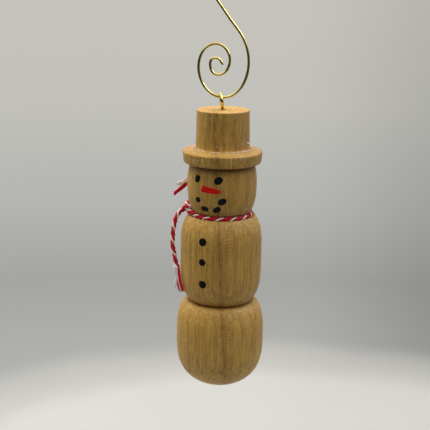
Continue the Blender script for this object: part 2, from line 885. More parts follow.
@dataclass
class Turning:
    """The figure's outline: a hat, a head, a middle and a base turned from one blank."""

    height: float = 110.0 * MM
    crown_top: float = 10.1 * MM
    crown_foot: float = 10.4 * MM
    crown_round: float = 0.4 * MM
    brim_top: float = 95.2 * MM
    brim_reach: float = 15.35 * MM
    brim_slope: float = 0.6 * MM
    brim_round: float = 0.95 * MM
    brim_thickness: float = 5.6 * MM
    brim_low_reach: float = 15.05 * MM
    brim_low_round: float = 1.05 * MM
    hole_reach: float = 0.80 * MM
    hole_floor: float = 99.8 * MM
    groove_centre: tuple[float, float] = (11.7 * MM, 69.6 * MM)
    groove_round: float = 1.25 * MM
    crevice: tuple[float, float] = (11.4 * MM, 34.45 * MM)
    crevice_shade: float = 0.80 * MM
    neck_shade: float = 1.2 * MM
    under_shade: float = 2.2 * MM
    lathe_depth: float = 0.004 * MM
    columns: int = 224

    def bead(self, widest: float, end: float, reach: float, end_reach: float,
             power: float, roundness: float, steps: int = 34) -> np.ndarray:
        """Half of a turned bead, from its widest height to its end, in millimetres.

        With share = sin(0 to a quarter turn), height = widest + (end - widest) share and
        radius = end_reach + (reach - end_reach) (1 - share^power)^(1 / roundness).

        Args:
            widest: Height of the widest place.
            end: Height of the end.
            reach: Radius at the widest place.
            end_reach: Radius at the end.
            power: How late the radius begins to fall.
            roundness: How round the end is.
            steps: Number of rows.

        Returns:
            Rows of radius and height in metres.
        """
        share = np.sin(np.linspace(0.0, math.pi / 2, steps))
        fall = np.clip(1.0 - share**power, 0.0, None) ** (1.0 / roundness)
        radii = end_reach + (reach - end_reach) * fall
        return np.column_stack([radii, widest + (end - widest) * share]) * MM

    def head(self) -> np.ndarray:
        """The head, from under the brim down to the scarf's groove.

        Returns:
            Rows of radius and height in metres.
        """
        upper = self.bead(82.2, 89.6, 13.45, 12.35, 2.1, 1.0, 24)
        lower = self.bead(82.2, 70.8, 13.45, 11.42, 3.0, 1.0)
        return np.concatenate([upper[::-1], lower[1:]])

    def middle(self) -> np.ndarray:
        """The middle, from the scarf's groove down to the crevice.

        Returns:
            Rows of radius and height in metres.
        """
        upper = self.bead(54.8, 69.2, 15.94, 12.87, 3.6, 1.0, 40)
        lower = self.bead(54.8, 34.6, 15.94, 12.25, 5.0, 1.05, 44)
        return np.concatenate([upper[::-1], lower[1:]])

    def base(self) -> np.ndarray:
        """The base, from the crevice down to the flat foot.

        Returns:
            Rows of radius and height in metres.
        """
        upper = self.bead(21.1, 34.35, 17.36, 12.9, 2.46, 2.0, 40)
        lower = self.bead(21.1, 0.0, 17.36, 7.1, 3.68, 1.34, 56)
        return np.concatenate([upper[::-1], lower[1:]])

    def arc(self, centre: tuple[float, float], reach: float, start: float, stop: float,
            steps: int) -> np.ndarray:
        """Part of a circle in the outline's plane, angles in degrees from outwards.

        Args:
            centre: Radius and height of the circle's centre.
            reach: The circle's radius.
            start: First angle.
            stop: Last angle.
            steps: Number of points.

        Returns:
            Rows of radius and height in metres.
        """
        angle = np.radians(np.linspace(start, stop, steps))
        around = np.column_stack([np.cos(angle), np.sin(angle)])
        return np.asarray(centre) + reach * around

    def straight(self, start: Sequence[float], stop: Sequence[float], steps: int) -> np.ndarray:
        """Points between two corners of the outline, without the corners."""
        share = np.linspace(0.0, 1.0, steps + 2)[1:-1, None]
        return np.asarray(start) * (1.0 - share) + np.asarray(stop) * share

    def outline(self) -> np.ndarray:
        """The whole outline, from the hole's floor over the hat and down to the foot.

        Returns:
            Rows of radius and height in metres.
        """
        crown_corner = (self.crown_top - self.crown_round, self.height - self.crown_round)
        edge_corner = (
            self.brim_reach - self.brim_round,
            self.brim_top - self.brim_slope - self.brim_round,
        )
        low_corner = (
            self.brim_low_reach - self.brim_low_round,
            self.brim_top - self.brim_thickness + self.brim_low_round,
        )
        hole_foot = (self.hole_reach, self.hole_floor + self.hole_reach)
        hole_lip = (self.hole_reach + 0.12 * MM, self.height)
        crown_rim = self.arc(crown_corner, self.crown_round, 90.0, 0.0, 7)
        crown_foot = np.array([[self.crown_foot, self.brim_top + 0.15 * MM],
                               [self.crown_foot + 0.15 * MM, self.brim_top]])
        brim_edge = self.arc(edge_corner, self.brim_round, 90.0, 0.0, 8)
        brim_low = self.arc(low_corner, self.brim_low_round, 0.0, -90.0, 10)
        head, middle, base = self.head(), self.middle(), self.base()
        cx, cz = self.groove_centre
        start = math.degrees(math.atan2(head[-1, 1] - cz, head[-1, 0] - cx))
        stop = math.degrees(math.atan2(middle[0, 1] - cz, middle[0, 0] - cx))
        groove = self.arc(self.groove_centre, self.groove_round, start, 360.0 + stop, 22)[1:-1]
        foot = self.straight(base[-1], (0.35 * MM, 0.0), 12)
        parts = [
            np.array([hole_foot]), self.straight(hole_foot, hole_lip, 8), np.array([hole_lip]),
            self.straight(hole_lip, crown_rim[0], 16), crown_rim,
            self.straight(crown_rim[-1], crown_foot[0], 16), crown_foot,
            self.straight(crown_foot[-1], brim_edge[0], 8), brim_edge,
            self.straight(brim_edge[-1], brim_low[0], 5), brim_low,
            self.straight(brim_low[-1], head[0], 3), head, groove, middle,
            np.array([self.crevice]), base, foot,
        ]
        return np.concatenate(parts)

    def reach_at(self, height: np.ndarray) -> np.ndarray:
        """Radius of the head, middle or base at heights between the brim and the foot.

        Args:
            height: Heights in metres.

        Returns:
            Radii in metres.
        """
        beads = np.concatenate([self.head(), self.middle(), self.base()])
        order = np.argsort(beads[:, 1])
        return np.interp(height, beads[order, 1], beads[order, 0])

    def hollow(self, outline: np.ndarray) -> np.ndarray:
        """How deep in a hollow each point is, from 0 to 1.

        It is the sum of bells exp(-((height - middle) / width) squared) round the crevice,
        the neck and the brim's underside, of the hole, and of a narrow band round the brim's
        top. The first two bells darken only the narrow parts.

        Args:
            outline: Rows of radius and height in metres.

        Returns:
            One value for each row.
        """
        reach, height = outline.T
        brim_under = self.brim_top - self.brim_thickness
        crevice = np.exp(-(((height - self.crevice[1]) / self.crevice_shade) ** 2))
        neck = 0.45 * np.exp(-(((height - self.groove_centre[1]) / self.neck_shade) ** 2))
        under = 0.80 * np.exp(-(((height - brim_under) / self.under_shade) ** 2))
        hole = 0.9 * (reach < 1.3 * MM) * (height > 0.5 * self.height)
        narrow = np.clip((13.2 * MM - reach) / (0.5 * MM), 0.0, 1.0)
        below = under * (height < brim_under + 0.02 * MM)
        brim = 0.30 * (np.abs(height - self.brim_top) < 0.9 * MM) * (reach > self.crown_foot)
        return np.clip((crevice + neck) * narrow + below + hole + brim, 0.0, 1.0)

    def make(self, material: bpy.types.Material) -> bpy.types.Object:
        """Turn the outline, with lathe marks a few thousandths of a millimetre deep.

        Args:
            material: The wood's finish.

        Returns:
            The new object.
        """
        outline = self.outline()
        reach, height = outline.T
        quick, slow = height * TURN / (0.83 * MM), height * TURN / (1.37 * MM) + 1.0
        marks = self.lathe_depth * (np.sin(quick) + np.sin(slow))
        reach = reach + marks * np.clip(reach / (9.0 * MM) - 0.5, 0.0, 1.0)
        azimuth = np.arange(self.columns) * TURN / self.columns
        grid = polar(azimuth[None, :], reach[:, None], height[:, None])
        surface = Surface()
        hollow = self.hollow(outline)[:, None]
        surface.add_tube(grid[:, ::-1], height, {"hollow": hollow})
        return surface.make("wood_turning", material)


# ---------------------------------------------------------------- paint


@dataclass(frozen=True)
class Dab:
    """One dab of black paint, in degrees and millimetres; squareness 2 is an ellipse."""

    name: str
    azimuth: float
    height: float
    half_width: float
    half_height: float
    turn: float
    squareness: float

    def rim(self, angle: np.ndarray, noise: np.random.Generator) -> tuple[np.ndarray, np.ndarray]:
        """Offsets of the dab's rim across and up, in millimetres, with an uneven edge.

        The rim is |cos|^(2/q), |sin|^(2/q) scaled, times 1.07 plus seven waves round it.

        Args:
            angle: Angles round the dab.
            noise: Source of the uneven edge.

        Returns:
            The offsets across and up.
        """
        cosine, sine = np.cos(angle), np.sin(angle)
        across = np.sign(cosine) * np.abs(cosine) ** (2.0 / self.squareness) * self.half_width
        up = np.sign(sine) * np.abs(sine) ** (2.0 / self.squareness) * self.half_height
        waves = np.arange(2, 9)[:, None]
        sizes = noise.uniform(0.2, 1.0, (7, 1)) * 0.036 / np.sqrt(waves)
        phases = noise.uniform(0.0, TURN, (7, 1))
        uneven = 1.07 + (sizes * np.sin(waves * angle + phases)).sum(axis=0)
        across, up = across * uneven, up * uneven
        cosine, sine = math.cos(math.radians(self.turn)), math.sin(math.radians(self.turn))
        return across * cosine - up * sine, across * sine + up * cosine


@dataclass
class PaintedMarks:
    """Eyes, nose, mouth and buttons: thin films that follow the wood."""

    turning: Turning
    film: float = 0.055 * MM
    sunk: float = 0.035 * MM
    sides: int = 64
    rings: int = 12
    dabs: tuple[Dab, ...] = (
        Dab("eye_left", -19.3, 84.95, 1.46, 1.24, 58.0, 2.1),
        Dab("eye_right", 19.0, 85.0, 1.64, 1.30, 30.0, 2.2),
        Dab("mouth_dot_1", -18.1, 76.85, 1.15, 1.05, 0.0, 2.1),
        Dab("mouth_dot_2", -5.6, 73.6, 1.50, 1.00, -4.0, 2.8),
        Dab("mouth_dot_3", 16.4, 73.6, 1.55, 1.05, 30.0, 2.3),
        Dab("mouth_dot_4", 25.8, 76.95, 1.60, 1.15, 24.0, 2.3),
        Dab("button_1", -1.4, 61.35, 1.48, 1.45, 0.0, 2.1),
        Dab("button_2", -1.6, 53.35, 1.32, 1.32, 0.0, 2.1),
        Dab("button_3", -1.1, 44.5, 1.48, 1.45, 0.0, 2.1),
    )
    nose_corners: tuple[tuple[float, float], ...] = (
        (-11.6, 80.3), (3.0, 79.9), (17.0, 79.8), (25.4, 80.9),
        (16.3, 81.9), (4.7, 82.3), (-8.4, 82.9),
    )

    def film_surface(
        self, centre: tuple[float, float], across: np.ndarray, up: np.ndarray
    ) -> Surface:
        """A closed film over the wood from its middle to its rim and back underneath.

        At share s of the way to the rim, the film's top is film (1 - s^6)^0.5 - 0.2 sunk
        above the wood, and its underside lies sunk below the wood. The map is in millimetres.

        Args:
            centre: Azimuth in radians and height in metres.
            across: Rim offsets across, in metres.
            up: Rim offsets up, in metres.

        Returns:
            The film.
        """
        share = np.linspace(0.0, 1.0, self.rings + 1)[1:] ** 0.7
        share = np.concatenate([share, share[::-1]])[:, None]
        above = np.arange(2 * self.rings)[:, None] < self.rings
        thick = self.film * np.sqrt(np.clip(1.0 - share**6, 0.0, 1.0))
        lift = np.where(above, thick - 0.2 * self.sunk, -self.sunk)
        height = centre[1] + up[None, :] * share
        wood = self.turning.reach_at(height)
        azimuth = centre[0] + across[None, :] * share / wood
        grid = polar(azimuth, wood + lift, height)
        surface = Surface()
        surface.add_tube(grid, share[:, 0], {})
        flat = np.stack([across[None, :] * share, up[None, :] * share], axis=-1) / MM
        flat = np.concatenate([flat.reshape(-1, 2), [[0.0, 0.0], [0.0, 0.0]]])
        surface.maps = [(flat[surface.quads[0].ravel()], flat[surface.fans[0].ravel()])]
        return surface

    def make_dabs(self, material: bpy.types.Material) -> None:
        """Lay the nine black dabs.

        Args:
            material: The piece's finish.
        """
        noise = np.random.default_rng(11)
        angle = np.arange(self.sides) * TURN / self.sides
        for dab in self.dabs:
            across, up = dab.rim(angle, noise)
            centre = (math.radians(dab.azimuth), dab.height * MM)
            film = self.film_surface(centre, across * MM, up * MM)
            piece = film.make(dab.name + "_paint", material)
            finish_piece(piece, Body.FIGURE, Slot.BLACK_PAINT, dab.name)

    def make_nose(self, material: bpy.types.Material) -> None:
        """Lay the red wedge, its sides straight between corners and its edge slightly ragged.

        Args:
            material: The piece's finish.
        """
        corners = np.array(self.nose_corners)
        middle = corners.mean(axis=0)
        wood = float(self.turning.reach_at(middle[1] * MM))
        across = np.radians(corners[:, 0] - middle[0]) * wood
        up = (corners[:, 1] - middle[1]) * MM
        sides = np.column_stack([across, up, np.zeros(len(up))])
        rim = even(np.concatenate([sides, sides[:1]]), 0.18 * MM)[:-1]
        noise = np.random.default_rng(5)
        rim[:, :2] *= 1.0 + noise.normal(0.0, 0.012, (len(rim), 1))
        centre = (math.radians(middle[0]), middle[1] * MM)
        piece = self.film_surface(centre, rim[:, 0], rim[:, 1]).make("nose_paint", material)
        finish_piece(piece, Body.FIGURE, Slot.RED_PAINT, "nose")


# ---------------------------------------------------------------- brass


@dataclass
class SwirlHook:
    """Brass wire from a hanging bend, down to a swirl, in one upright plane."""

    wire: float = 1.05 * MM
    turn: float = math.radians(25.0)
    sides: int = 18
    route: tuple[tuple[float, float], ...] = (
        (8.3, 157.4), (8.4, 162.0), (5.9, 167.9), (0.3, 170.4), (-5.1, 168.4),
        (-8.0, 163.0), (-7.3, 157.4), (-2.7, 150.3), (2.6, 143.0), (6.8, 137.2),
        (8.9, 131.5), (9.2, 126.0), (7.5, 119.9), (3.6, 115.5), (-0.4, 114.6),
        (-4.4, 115.9), (-7.9, 119.7), (-9.5, 125.0), (-9.0, 129.6), (-6.7, 133.2),
        (-3.1, 134.6), (0.2, 133.2), (2.1, 129.6), (1.6, 125.8), (-0.5, 123.4),
        (-3.1, 123.2), (-5.1, 126.0), (-4.4, 129.0), (-2.2, 129.1), (-0.4, 126.8),
    )

    def make(self, material: bpy.types.Material) -> None:
        """Sweep the wire, with a small bevel at both cut ends.

        Args:
            material: The piece's finish.
        """
        across, height = np.array(self.route).T * MM
        cosine, sine = math.cos(self.turn), math.sin(self.turn)
        line = spline(np.column_stack([across * cosine, across * sine, height]), 0.22 * MM)
        travelled = lengths(line)
        to_end = np.minimum(travelled, travelled[-1] - travelled)
        radius = self.wire / 2 * (1.0 - 0.22 * np.clip(1.0 - to_end / (0.18 * MM), 0.0, 1.0))
        surface = Surface()
        rings = sweep(line, np.array([-sine, cosine, 0.0]), radius, self.sides)
        surface.add_tube(rings, travelled, {})
        finish_piece(surface.make("swirl_hook_wire", material), Body.HOOK, Slot.BRASS, "hook")


@dataclass
class ScrewEye:
    """One brass wire: an open ring, a neck, and a threaded shank in the hat.

    The shank's and the neck's routes are in millimetres, across the ring's plane and up.
    """

    wire: float = 1.4 * MM
    ring: float = 2.45 * MM
    ring_height: float = 113.55 * MM
    turn: float = math.radians(25.0)
    thread_top: float = 107.5 * MM
    tip: float = 100.5 * MM
    point: float = 2.7 * MM
    core: float = 0.56 * MM
    pitch: float = 0.9 * MM
    thread_depth: float = 0.16 * MM
    shank_heights: tuple[float, ...] = (103.0, 105.0, 107.0, 108.6, 109.8)
    neck_route: tuple[tuple[float, float], ...] = ((-0.12, 110.65), (-0.62, 111.22))
    ring_start: float = -128.0
    ring_sweep: float = 288.0
    lean: float = 0.16
    lean_from: float = 109.2 * MM
    sides: int = 20

    def line(self) -> np.ndarray:
        """The wire's middle: up the shank, over to the ring, and round it to the open end.

        Returns:
            Points of the line, one a row.
        """
        turns = np.radians(np.linspace(self.ring_start, self.ring_start - self.ring_sweep, 40))
        shank = np.concatenate([[self.tip], np.array(self.shank_heights) * MM])
        neck = np.array(self.neck_route) * MM
        across = np.concatenate([np.zeros(len(shank)), neck[:, 0], self.ring * np.cos(turns)])
        rise = self.ring_height + self.ring * np.sin(turns)
        height = np.concatenate([shank, neck[:, 1], rise])
        cosine, sine = math.cos(self.turn), math.sin(self.turn)
        aside = -self.lean * np.clip(height - self.lean_from, 0.0, None)
        return spline(np.column_stack([
            -sine * across + cosine * aside, cosine * across + sine * aside, height,
        ]), 0.09 * MM)

    def make(self, material: bpy.types.Material) -> None:
        """Sweep the wire; a thread climbs the shank as a triangle wave, one pitch a turn.

        Args:
            material: The piece's finish.
        """
        line = self.line()
        travelled = lengths(line)
        height = line[:, 2][:, None]
        on_shank = (travelled < self.thread_top - self.tip)[:, None]
        angle = np.arange(self.sides)[None, :] / self.sides
        phase = ((height - self.tip) / self.pitch - angle) % 1.0
        crest = np.clip(1.0 - np.abs(phase - 0.5) / 0.3, 0.0, 1.0)
        core = np.where(on_shank, self.core, self.wire / 2)
        taper = np.clip((height - self.tip) / self.point + 0.12, 0.12, 1.0)
        radius = (core + self.thread_depth * crest * on_shank) * np.where(on_shank, taper, 1.0)
        to_end = (travelled[-1] - travelled)[:, None]
        radius = radius * (1.0 - 0.2 * np.clip(1.0 - to_end / (0.2 * MM), 0.0, 1.0))
        towards = np.array([math.cos(self.turn), math.sin(self.turn), 0.0])
        surface = Surface()
        surface.add_tube(sweep(line, towards, radius, self.sides), travelled, {})
        piece = surface.make("screw_eye_wire", material)
        finish_piece(piece, Body.SCREW_EYE, Slot.BRASS, "screw_eye")


# ---------------------------------------------------------------- the scarf


@dataclass(frozen=True)
class Strand:
    """A bundle of loose yarns in the frayed end, lengths in millimetres.

    The end lies aside to the left and near towards the front, and length is the bundle's
    share of the whole fray.
    """

    dye: float
    yarns: int
    radius: float
    ply: int
    aside: float
    near: float
    length: float


@dataclass
class TwineScarf:
    """One length of red and white twine: long tail, knot, loop round the neck, short tail.

    The tails' routes are azimuths in degrees, then radii and heights in millimetres. The
    knot's strands are offsets in millimetres along the neck, outwards and up.
    """

    diameter: float = 1.8 * MM
    lay: float = 5.39 * MM
    start_phase: float = 0.20 * TURN
    ply_reach: float = 0.48 * MM
    ply_radius: float = 0.43 * MM
    dyes: tuple[float, float, float] = (1.0, 1.0, 0.0)
    ply_sizes: tuple[float, float, float] = (1.08, 1.08, 0.84)
    knot_sizes: tuple[float, float, float] = (1.10, 1.10, 0.60)
    yarn_lay: float = 1.9 * MM
    lobes: int = 5
    sides: int = 20
    spacing: float = 0.15 * MM
    neck_reach: float = 11.4
    knot_azimuth: float = -63.0
    knot_reach: float = 13.1
    knot_height: float = 71.2
    long_route: tuple[tuple[float, float, float], ...] = (
        (-63.0, 15.6, 70.4), (-62.8, 16.7, 69.3), (-62.3, 17.9, 67.0), (-61.5, 18.7, 63.4),
        (-60.8, 19.1, 59.2), (-60.0, 18.9, 55.2), (-59.0, 18.2, 51.8), (-57.5, 17.7, 48.6),
        (-54.5, 17.3, 45.4), (-50.5, 17.0, 42.4), (-46.5, 16.6, 39.4),
    )
    short_route: tuple[tuple[float, float, float], ...] = (
        (-72.0, 13.9, 72.0), (-83.0, 14.0, 72.4), (-95.0, 14.1, 72.8), (-107.0, 14.4, 73.2),
        (-117.5, 14.8, 74.7), (-121.1, 15.3, 77.1), (-118.1, 15.7, 80.0), (-110.2, 16.0, 81.6),
        (-100.5, 16.7, 81.2), (-93.5, 18.1, 79.3), (-88.3, 20.1, 76.9),
    )
    over_strand: tuple[tuple[float, float, float], ...] = (
        (-2.2, -0.3, -0.7), (-1.3, -0.1, -0.55), (-0.3, 0.0, -0.2), (0.65, 0.1, 0.25),
        (1.25, 0.6, 0.55), (0.95, 1.2, 0.65), (0.4, 1.5, 0.30), (0.0, 1.6, -0.1),
        (-0.05, 1.85, -0.55),
    )
    under_strand: tuple[tuple[float, float, float], ...] = (
        (2.2, -0.3, -0.7), (1.3, 0.25, -0.6), (0.3, 0.65, -0.35), (-0.55, 0.65, 0.15),
        (-1.35, 0.5, 0.55),
    )
    fray: float = 9.6 * MM
    strands: tuple[Strand, ...] = (
        Strand(1.0, 14, 0.22, 0, -0.80, 0.10, 1.0),
        Strand(1.0, 14, 0.22, 1, 0.05, 0.1, 0.99),
        Strand(1.0, 12, 0.18, 1, 0.80, 0.30, 0.94),
        Strand(0.0, 46, 0.095, 2, 2.10, 0.25, 0.82),
        Strand(0.0, 4, 0.08, 2, -0.2, 0.45, 1.0),
    )
    untwist: float = 8.5 * MM
    untwist_ease: float = 3.0 * MM
    shift_stops: tuple[float, ...] = (0.0, 3.5, 7.0, 11.5)
    shifts: tuple[tuple[float, ...], ...] = (
        (-0.95, -1.55, -1.80, 0.0), (-1.70, -2.25, -2.45, 0.0), (1.9, 0.15, -0.85, 0.0),
    )
    # of each ply's end: share of the twist lost, extra length in millimetres, swelling
    tail_ends: tuple[tuple[float, float, float], ...] = (
        (0.85, 0.9, 0.12), (0.85, 0.9, 0.12), (1.0, -0.5, -0.45),
    )
    white_yarns: int = 34
    fuzz_count: int = 420

    def knot_points(self, offsets: Sequence[tuple[float, float, float]]) -> np.ndarray:
        """Points by offsets from the knot's middle along the neck, outwards and up.

        Args:
            offsets: One offset a row.

        Returns:
            Points, one a row.
        """
        along, out, up = np.array(offsets).T
        reach = self.knot_reach + out
        azimuth = math.radians(self.knot_azimuth) + along / reach
        return polar(azimuth, reach * MM, (self.knot_height + up) * MM)

    def tail_points(self, route: Sequence[tuple[float, float, float]]) -> np.ndarray:
        """Points of a tail's route, given as azimuth in degrees, then radius and height."""
        azimuth, reach, height = np.array(route).T
        return polar(np.radians(azimuth), reach * MM, height * MM)

    def loop_points(self) -> np.ndarray:
        """The twine in the neck's groove, both ends rising out of it to the knot's sides.

        Within 24 degrees of an end, lift goes from 0 to 1. The radius grows with its square
        and the height with its power 1.5.

        Returns:
            Points, one a row.
        """
        half = 2.2 / self.knot_reach
        middle = math.radians(self.knot_azimuth)
        azimuth = np.linspace(middle - half, middle + half - TURN, 46)[1:-1]
        to_end = np.minimum(middle - half - azimuth, azimuth - (middle + half - TURN))
        lift = np.clip(1.0 - to_end / math.radians(24.0), 0.0, 1.0)
        reach = self.neck_reach + (self.knot_reach - 0.3 - self.neck_reach) * lift**2
        return polar(azimuth, reach * MM, (69.6 + 1.0 * lift**1.5) * MM)

    def whole_line(self) -> tuple[np.ndarray, list[int]]:
        """The whole twine from the long tail's tip to the short tail's tip.

        Returns:
            The line, and its indices where the knot, the loop, the knot and the short tail start.
        """
        stretches = [
            self.tail_points(self.long_route)[::-1], self.knot_points(self.over_strand)[::-1],
            self.loop_points(), self.knot_points(self.under_strand),
            self.tail_points(self.short_route),
        ]
        line = spline(np.concatenate(stretches), self.spacing)
        cuts, first = [], 0
        for stretch in stretches[1:]:
            away = np.linalg.norm(line[first:first + 700] - stretch[0], axis=1)
            first = first + int(np.argmin(away))
            cuts.append(first)
        return line, cuts

    def ply_lines(self, line: np.ndarray) -> list[np.ndarray]:
        """Centre lines of the three plies: left-handed helices a third of a turn apart.

        Args:
            line: Centre line of the whole twine.

        Returns:
            Centre lines of the three plies.
        """
        first, second = steady_frame(line, polar(np.arctan2(line[:, 0], -line[:, 1]), 1.0, 0.0))
        phase = self.start_phase - TURN * lengths(line) / self.lay
        return [
            line + self.ply_reach * (
                first * np.cos(phase + ply * TURN / 3)[:, None]
                + second * np.sin(phase + ply * TURN / 3)[:, None]
            )
            for ply in range(3)
        ]

    def add_ply(
        self, surface: Surface, ply: np.ndarray, radius: np.ndarray | float, dye: float
    ) -> None:
        """Add one ply, a tube with lobes that wind the other way than the plies do.

        The radius is radius (0.86 + 0.14 |cos(lobes / 2 (angle - winding))|^0.7), and the
        attribute depth is larger between the lobes.

        Args:
            surface: The surface it is added to.
            ply: The ply's centre line.
            radius: The ply's radius, or one for each point.
            dye: 0 for white and 1 for red.
        """
        travelled = lengths(ply)
        angle = np.arange(self.sides)[None, :] * TURN / self.sides
        winding = TURN * travelled[:, None] / self.yarn_lay
        wave = np.abs(np.cos(self.lobes / 2 * (angle - winding)))
        radius = np.broadcast_to(radius, travelled.shape)[:, None] * (0.86 + 0.14 * wave**0.7)
        grid = sweep(ply, np.array([0.31, 0.52, 0.79]), radius, self.sides)
        surface.add_tube(grid, travelled, {"dye": dye, "depth": 0.5 * (1.0 - wave) ** 2})

    def add_yarn(self, surface: Surface, yarn: np.ndarray, radius: float, dye: float) -> None:
        """Add one loose yarn that thins towards its tip.

        Args:
            surface: The surface it is added to.
            yarn: The yarn's centre line.
            radius: Its radius at the root.
            dye: 0 for white and 1 for red.
        """
        travelled = lengths(yarn)
        thin = radius * (1.0 - 0.55 * (travelled / travelled[-1]) ** 3)
        grid = sweep(yarn, np.array([0.43, 0.21, 0.88]), thin, 8)
        surface.add_tube(grid, travelled, {"dye": dye, "depth": 0.1})

    def make_loop_and_knot(
        self, material: bpy.types.Material, plies: list[np.ndarray], cuts: list[int]
    ) -> None:
        """Make the twine round the neck, and the knot's two strands as one piece.

        Args:
            material: The piece's finish.
            plies: Centre lines of the three plies.
            cuts: Indices where the knot, the loop, the knot and the short tail start.
        """
        loop, knot = Surface(), Surface()
        for ply, dye, size, tight in zip(plies, self.dyes, self.ply_sizes, self.knot_sizes):
            self.add_ply(loop, ply[cuts[1] - 2:cuts[2] + 3], self.ply_radius * size, dye)
            self.add_ply(knot, ply[cuts[0] - 2:cuts[1] + 3], self.ply_radius * tight, dye)
            self.add_ply(knot, ply[cuts[2] - 2:cuts[3] + 3], self.ply_radius * tight, dye)
        finish_piece(loop.make("twine_loop", material), Body.SCARF, Slot.TWINE, "scarf_loop")
        finish_piece(knot.make("twine_knot", material), Body.SCARF, Slot.TWINE, "scarf_knot")

    def make_long_tail(
        self, material: bpy.types.Material, line: np.ndarray, plies: list[np.ndarray], stop: int
    ) -> None:
        """Make the long tail: twisted above, and frayed into loose yarns below.

        Args:
            material: The piece's finish.
            line: Centre line of the whole twine.
            plies: Centre lines of the three plies.
            stop: Index where the tail meets the knot.
        """
        noise = np.random.default_rng(23)
        fray = int(self.fray / self.spacing)
        surface = Surface()
        for ply, dye, size in zip(plies, self.dyes, self.ply_sizes):
            self.add_ply(surface, ply[fray - 8:stop + 3], self.ply_radius * size, dye)
        step = line[0] - line[2]
        beyond = line[0] + step / 2 * np.arange(1, 9)[:, None]
        straight = np.concatenate([line[:fray][::-1], beyond])
        for strand in self.strands:
            root = plies[strand.ply][fray] - line[fray]
            for _ in range(strand.yarns):
                yarn = self.frayed_yarn(strand, straight, root, noise)
                self.add_yarn(surface, yarn, strand.radius * MM, strand.dye)
        piece = surface.make("twine_long_tail", material)
        finish_piece(piece, Body.SCARF, Slot.TWINE, "scarf_long_tail")

    def frayed_yarn(
        self, strand: Strand, straight: np.ndarray, root: np.ndarray, noise: np.random.Generator
    ) -> np.ndarray:
        """Line of one loose yarn, which leaves its ply's root for the strand's end.

        It is straight + start (1 - share) + end share^1.2, with a slow wave that grows with
        share.

        Args:
            strand: The bundle it belongs to.
            straight: Centre line of the fray, from its root.
            root: Offset of its ply at the root.
            noise: Source of random numbers.

        Returns:
            Points of the yarn, one a row.
        """
        share = np.linspace(0.0, 1.0, len(straight))[:, None]
        start = root * 0.9 + noise.normal(0.0, 0.33, 3) * MM
        aside = -RIGHT * (strand.aside + noise.normal(0.0, 0.23))
        near = -BEYOND * (strand.near + noise.normal(0.0, 0.2))
        wave = noise.normal(0.0, 0.14, 3) * MM
        phase = noise.uniform(0.0, TURN)
        yarn = straight + start * (1.0 - share) + (aside + near) * MM * share**1.2
        yarn = yarn + wave * np.sin(share * 7.0 + phase) * share
        keep = int(len(straight) * min(1.0, strand.length * noise.uniform(0.93, 1.0)))
        return yarn[:keep:2]

    def make_short_tail(
        self, material: bpy.types.Material, line: np.ndarray, plies: list[np.ndarray], start: int
    ) -> None:
        """Make the short tail: its end is untwisted into a white ply above and a red pair below.

        Over the last stretch the plies leave the helix for the straight line, moved up or
        down by offsets that are read from a table by the distance left.

        Args:
            material: The piece's finish.
            line: Centre line of the whole twine.
            plies: Centre lines of the three plies.
            start: Index where the tail leaves the knot.
        """
        surface = Surface()
        tail = line[start:]
        left_over = lengths(tail)[-1] - lengths(tail)
        loose = np.clip(1.0 - (left_over - self.untwist) / self.untwist_ease, 0.0, 1.0)[:, None]
        loose = loose * loose * (3.0 - 2.0 * loose)
        longer = np.clip(1.0 - left_over / self.untwist, 0.0, 1.0)[:, None] ** 2
        stops = np.array(self.shift_stops) * MM
        tangent = unit(np.gradient(tail, axis=0))
        for index, ply in enumerate(plies):
            lost, extra, swelling = self.tail_ends[index]
            shift = np.interp(left_over, stops, np.array(self.shifts[index]) * MM)[:, None]
            twist = (ply[start:] - tail) * (1.0 - loose * lost)
            moved = tail + twist + shift * np.array([0.0, 0.0, 1.0]) * loose
            moved = moved + tangent * longer * extra * MM
            radius = self.ply_radius * (1.0 + swelling * loose[:, 0])
            self.add_ply(surface, moved, radius, self.dyes[index])
            if not self.dyes[index]:
                self.add_white_yarns(surface, moved, loose, left_over)
        piece = surface.make("twine_short_tail", material)
        finish_piece(piece, Body.SCARF, Slot.TWINE, "scarf_short_tail")

    def add_white_yarns(
        self, surface: Surface, ply: np.ndarray, loose: np.ndarray, left_over: np.ndarray
    ) -> None:
        """Add the loose yarns that stray from the white ply as it untwists.

        Args:
            surface: The surface they are added to.
            ply: The white ply's centre line.
            loose: How far it is untwisted at each point.
            left_over: Distance left to the tail's tip.
        """
        noise = np.random.default_rng(41)
        first = int(np.argmax(loose[:, 0] > 0.3))
        for _ in range(self.white_yarns):
            drift = noise.normal(0.0, (0.10, 0.10, 0.27), 3) * MM
            wave = noise.normal(0.0, 0.10, 3) * MM
            wave = wave * np.sin(left_over[:, None] * 900.0 + noise.uniform(0.0, TURN))
            yarn = ply + (drift * 1.6 + wave) * loose
            keep = len(yarn) - noise.integers(0, 9)
            self.add_yarn(surface, yarn[first:keep:2], 0.12 * MM, 0.0)

